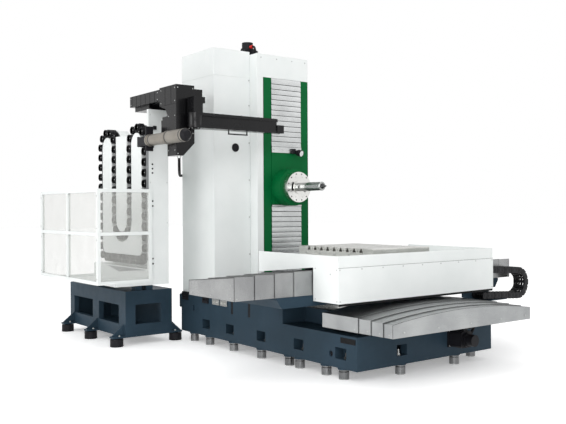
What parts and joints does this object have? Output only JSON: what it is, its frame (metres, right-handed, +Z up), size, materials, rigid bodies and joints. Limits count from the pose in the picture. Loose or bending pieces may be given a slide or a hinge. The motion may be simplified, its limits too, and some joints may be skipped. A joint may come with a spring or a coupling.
{
  "type": "horizontal boring and milling machine",
  "caption": "Table-type horizontal boring and milling machine: cross-travelling rotary table, column with climbing spindle head, and a chain tool magazine with a changer arm.",
  "frame": {"origin": "on the floor, at the centre of the four corner foundation holes", "axes": "+X along the table travel to the operator's right, +Y along the spindle from the table to the column, +Z up"},
  "size_m": [4.59, 5.656, 3.998],
  "materials": {
    "slate_paint": "dark blue-grey machine enamel, satin",
    "white_paint": "light grey-white powder coat, satin",
    "green_paint": "deep green enamel, satin",
    "ground_steel": "ground steel, bare",
    "cover_steel": "brushed stainless sheet",
    "black_paint": "gloss black enamel",
    "black_plastic": "moulded black nylon",
    "dark_steel": "blackened steel, oiled",
    "clear_pane": "clear polycarbonate sheet",
    "cable_rubber": "ribbed black conduit"
  },
  "bodies": {
    "base": {"bed": "slate_paint", "levelling_mounts": "ground_steel", "z_rails": "ground_steel", "z_drive_motor": "black_paint", "column_casting": "slate_paint", "column_housing": "white_paint", "column_shroud": "white_paint", "column_hood": "white_paint", "front_frame": "green_paint", "y_rails": "ground_steel", "y_drive_motor": "black_paint", "upper_apron": "cover_steel", "lower_apron": "cover_steel", "z_cover_front_1": "cover_steel", "z_cover_rear_1": "cover_steel", "changer_stand": "slate_paint", "magazine_case": "white_paint", "chain_guide": "dark_steel", "tool_pots": "black_plastic", "chain_links": "dark_steel", "fence_frame": "white_paint", "fence_panes": "clear_pane", "changer_housing": "black_paint", "transfer_cylinder": "ground_steel", "arm_carriage": "black_paint", "changer_cable": "cable_rubber"},
    "saddle": {"saddle": "slate_paint", "z_runner_blocks": "ground_steel", "x_rails": "ground_steel", "x_drive_motor": "black_paint", "z_cover_front_4": "cover_steel", "z_cover_rear_3": "cover_steel", "x_cover_left_1": "cover_steel", "x_cover_right_1": "cover_steel", "energy_chain": "black_plastic"},
    "table": {"table_slide": "slate_paint", "x_runner_blocks": "ground_steel", "table_guard": "white_paint", "guard_front_plate": "white_paint", "x_cover_left_5": "cover_steel", "x_cover_right_5": "cover_steel"},
    "rotary": {"rotary_table": "ground_steel"},
    "head": {"spindle_head": "green_paint", "y_runner_blocks": "ground_steel", "work_light": "ground_steel"},
    "sleeve": {"milling_sleeve": "ground_steel"},
    "bar": {"boring_bar": "ground_steel"},
    "arm": {"tool_arm": "black_paint"},
    "bed_screw": {"z_ballscrew": "ground_steel"},
    "cross_screw": {"x_ballscrew": "ground_steel"},
    "column_screw": {"y_ballscrew": "ground_steel"},
    "z_cover_front_2_body": {"z_cover_front_2": "cover_steel"},
    "z_cover_front_3_body": {"z_cover_front_3": "cover_steel"},
    "z_cover_rear_2_body": {"z_cover_rear_2": "cover_steel"},
    "x_cover_left_2_body": {"x_cover_left_2": "cover_steel"},
    "x_cover_left_3_body": {"x_cover_left_3": "cover_steel"},
    "x_cover_left_4_body": {"x_cover_left_4": "cover_steel"},
    "x_cover_right_2_body": {"x_cover_right_2": "cover_steel"},
    "x_cover_right_3_body": {"x_cover_right_3": "cover_steel"},
    "x_cover_right_4_body": {"x_cover_right_4": "cover_steel"}
  },
  "joints": [
    {"name": "saddle_z", "type": "slide", "parent": "base", "child": "saddle", "axis": [0, 1, 0], "range_m": [-0.3, 0.4]},
    {"name": "table_x", "type": "slide", "parent": "saddle", "child": "table", "axis": [1, 0, 0], "range_m": [-0.9, 0.9], "deforming": ["energy_chain"]},
    {"name": "table_b", "type": "hinge", "parent": "table", "child": "rotary", "pos_m": [0, -0.695, 1.142], "axis": [0, 0, 1], "continuous": true},
    {"name": "head_y", "type": "slide", "parent": "base", "child": "head", "axis": [0, 0, 1], "range_m": [-0.6, 0.58], "deforming": ["upper_apron", "lower_apron"]},
    {"name": "spindle", "type": "hinge", "parent": "head", "child": "sleeve", "pos_m": [0, 0.488, 1.995], "axis": [0, 1, 0], "continuous": true},
    {"name": "quill", "type": "slide", "parent": "sleeve", "child": "bar", "axis": [0, -1, 0], "range_m": [-0.45, 0.08]},
    {"name": "arm_swing", "type": "hinge", "parent": "base", "child": "arm", "pos_m": [-1.59, 0.4, 2.651], "axis": [0, 0, 1], "range_deg": [-90, 0]},
    {"name": "bed_screw_turn", "type": "hinge", "parent": "base", "child": "bed_screw", "pos_m": [0.38, 0, 0.31], "axis": [0, 1, 0], "continuous": true},
    {"name": "cross_screw_turn", "type": "hinge", "parent": "saddle", "child": "cross_screw", "pos_m": [0, -0.787, 0.92], "axis": [1, 0, 0], "continuous": true},
    {"name": "column_screw_turn", "type": "hinge", "parent": "base", "child": "column_screw", "pos_m": [-0.115, 1.47, 2], "axis": [0, 0, 1], "continuous": true},
    {"name": "z_cover_front_2_slide", "type": "slide", "parent": "base", "child": "z_cover_front_2_body", "axis": [0, 1, 0], "range_m": [-0.101, 0.1343]},
    {"name": "z_cover_front_3_slide", "type": "slide", "parent": "base", "child": "z_cover_front_3_body", "axis": [0, 1, 0], "range_m": [-0.201, 0.2677]},
    {"name": "z_cover_rear_2_slide", "type": "slide", "parent": "base", "child": "z_cover_rear_2_body", "axis": [0, 1, 0], "range_m": [-0.151, 0.201]},
    {"name": "x_cover_left_2_slide", "type": "slide", "parent": "saddle", "child": "x_cover_left_2_body", "axis": [1, 0, 0], "range_m": [-0.226, 0.226]},
    {"name": "x_cover_left_3_slide", "type": "slide", "parent": "saddle", "child": "x_cover_left_3_body", "axis": [1, 0, 0], "range_m": [-0.451, 0.451]},
    {"name": "x_cover_left_4_slide", "type": "slide", "parent": "saddle", "child": "x_cover_left_4_body", "axis": [1, 0, 0], "range_m": [-0.676, 0.676]},
    {"name": "x_cover_right_2_slide", "type": "slide", "parent": "saddle", "child": "x_cover_right_2_body", "axis": [1, 0, 0], "range_m": [-0.226, 0.226]},
    {"name": "x_cover_right_3_slide", "type": "slide", "parent": "saddle", "child": "x_cover_right_3_body", "axis": [1, 0, 0], "range_m": [-0.451, 0.451]},
    {"name": "x_cover_right_4_slide", "type": "slide", "parent": "saddle", "child": "x_cover_right_4_body", "axis": [1, 0, 0], "range_m": [-0.676, 0.676]}
  ],
  "couplings": [
    {"joint": "z_cover_front_2_slide", "follows": "saddle_z", "ratio": 0.3333},
    {"joint": "z_cover_front_3_slide", "follows": "saddle_z", "ratio": 0.6667},
    {"joint": "z_cover_rear_2_slide", "follows": "saddle_z", "ratio": 0.5},
    {"joint": "x_cover_left_2_slide", "follows": "table_x", "ratio": 0.25},
    {"joint": "x_cover_left_3_slide", "follows": "table_x", "ratio": 0.5},
    {"joint": "x_cover_left_4_slide", "follows": "table_x", "ratio": 0.75},
    {"joint": "x_cover_right_2_slide", "follows": "table_x", "ratio": 0.25},
    {"joint": "x_cover_right_3_slide", "follows": "table_x", "ratio": 0.5},
    {"joint": "x_cover_right_4_slide", "follows": "table_x", "ratio": 0.75},
    {"joint": "bed_screw_turn", "follows": "saddle_z", "rad_per_m": 314.16},
    {"joint": "cross_screw_turn", "follows": "table_x", "rad_per_m": 314.16},
    {"joint": "column_screw_turn", "follows": "head_y", "rad_per_m": 314.16}
  ]
}
